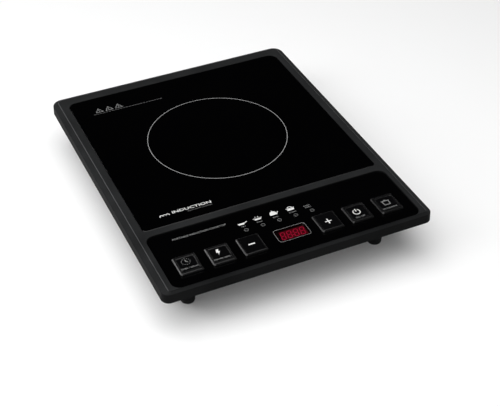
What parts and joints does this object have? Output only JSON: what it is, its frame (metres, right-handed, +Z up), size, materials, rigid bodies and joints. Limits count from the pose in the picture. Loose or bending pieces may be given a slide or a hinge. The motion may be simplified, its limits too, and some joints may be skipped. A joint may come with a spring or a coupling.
{
  "type": "electric induction cooktop",
  "caption": "Portable single-zone induction cooktop: black glass plate and key panel in a framed cover over a tapered base with fan, coil, boards and feet.",
  "frame": {"origin": "centre of the whole cooktop's plan, on the surface it stands on", "axes": "+Z up, -Y to the user and the key panel, +Y to the back, +X to the user's right"},
  "size_m": [0.28, 0.35, 0.0582],
  "materials": {
    "cover_plastic": "fine-textured moulded plastic, charcoal black",
    "base_plastic": "fine-textured moulded plastic, black",
    "black_glass": "polished black glass-ceramic",
    "panel_gloss": "glossy black printed overlay",
    "key_plastic": "satin black moulded plastic",
    "display_red": "smoked red lens",
    "white_plastic": "white moulded plastic",
    "circuit_board": "green solder mask",
    "black_component": "moulded black resin",
    "clear_acrylic": "clear acrylic light guide",
    "carrier_plastic": "heat-resistant moulded resin",
    "copper_litz": "enamelled copper litz wire",
    "ferrite": "sintered grey-black ferrite",
    "mica": "pressed mica sheet",
    "heatsink_aluminium": "extruded aluminium, mill finish",
    "capacitor_yellow": "amber film-capacitor case",
    "soft_rubber": "matte black rubber",
    "screw_steel": "zinc-plated steel"
  },
  "bodies": {
    "housing": {"base_housing": "base_plastic", "upper_cover": "cover_plastic", "glass_plate": "black_glass", "control_fascia": "panel_gloss", "display_window": "display_red", "display_module": "white_plastic", "control_board": "circuit_board", "buzzer": "black_component", "coil_carrier": "carrier_plastic", "induction_coil": "copper_litz", "mica_sheet": "mica", "temperature_sensor": "white_plastic", "power_board": "circuit_board", "heatsink": "heatsink_aluminium", "igbt": "black_component", "bridge_rectifier": "black_component", "resonant_capacitor": "capacitor_yellow", "filter_capacitor": "capacitor_yellow", "choke": "copper_litz", "transformer": "black_component", "fan_housing": "black_component", "cord_gland": "soft_rubber", "switch_timer": "black_component", "switch_power_level": "black_component", "switch_minus": "black_component", "switch_plus": "black_component", "switch_on_off": "black_component", "switch_mode": "black_component", "light_guide_1": "clear_acrylic", "light_guide_2": "clear_acrylic", "light_guide_3": "clear_acrylic", "light_guide_4": "clear_acrylic", "light_guide_5": "clear_acrylic", "ferrite_bar_1": "ferrite", "ferrite_bar_2": "ferrite", "ferrite_bar_3": "ferrite", "ferrite_bar_4": "ferrite", "ferrite_bar_5": "ferrite", "ferrite_bar_6": "ferrite", "foot_front_left": "soft_rubber", "screw_front_left": "screw_steel", "foot_front_right": "soft_rubber", "screw_front_right": "screw_steel", "foot_rear_left": "soft_rubber", "screw_rear_left": "screw_steel", "foot_rear_right": "soft_rubber", "screw_rear_right": "screw_steel"},
    "timer_key": {"key_timer": "key_plastic", "plunger_timer": "white_plastic"},
    "power_level_key": {"key_power_level": "key_plastic", "plunger_power_level": "white_plastic"},
    "minus_key": {"key_minus": "key_plastic", "plunger_minus": "white_plastic"},
    "plus_key": {"key_plus": "key_plastic", "plunger_plus": "white_plastic"},
    "on_off_key": {"key_on_off": "key_plastic", "plunger_on_off": "white_plastic"},
    "mode_key": {"key_mode": "key_plastic", "plunger_mode": "white_plastic"},
    "fan": {"fan_rotor": "black_component"}
  },
  "joints": [
    {"name": "timer_key_press", "type": "slide", "parent": "housing", "child": "timer_key", "axis": [0, 0, -1], "range_m": [0, 0.0006], "stiffness_N_per_m": 800, "springref_m": -0.001},
    {"name": "power_level_key_press", "type": "slide", "parent": "housing", "child": "power_level_key", "axis": [0, 0, -1], "range_m": [0, 0.0006], "stiffness_N_per_m": 800, "springref_m": -0.001},
    {"name": "minus_key_press", "type": "slide", "parent": "housing", "child": "minus_key", "axis": [0, 0, -1], "range_m": [0, 0.0006], "stiffness_N_per_m": 800, "springref_m": -0.001},
    {"name": "plus_key_press", "type": "slide", "parent": "housing", "child": "plus_key", "axis": [0, 0, -1], "range_m": [0, 0.0006], "stiffness_N_per_m": 800, "springref_m": -0.001},
    {"name": "on_off_key_press", "type": "slide", "parent": "housing", "child": "on_off_key", "axis": [0, 0, -1], "range_m": [0, 0.0006], "stiffness_N_per_m": 800, "springref_m": -0.001},
    {"name": "mode_key_press", "type": "slide", "parent": "housing", "child": "mode_key", "axis": [0, 0, -1], "range_m": [0, 0.0006], "stiffness_N_per_m": 800, "springref_m": -0.001},
    {"name": "fan_spin", "type": "hinge", "parent": "housing", "child": "fan", "pos_m": [-0.068, 0.104, 0.0234], "axis": [0, 0, 1], "continuous": true}
  ]
}
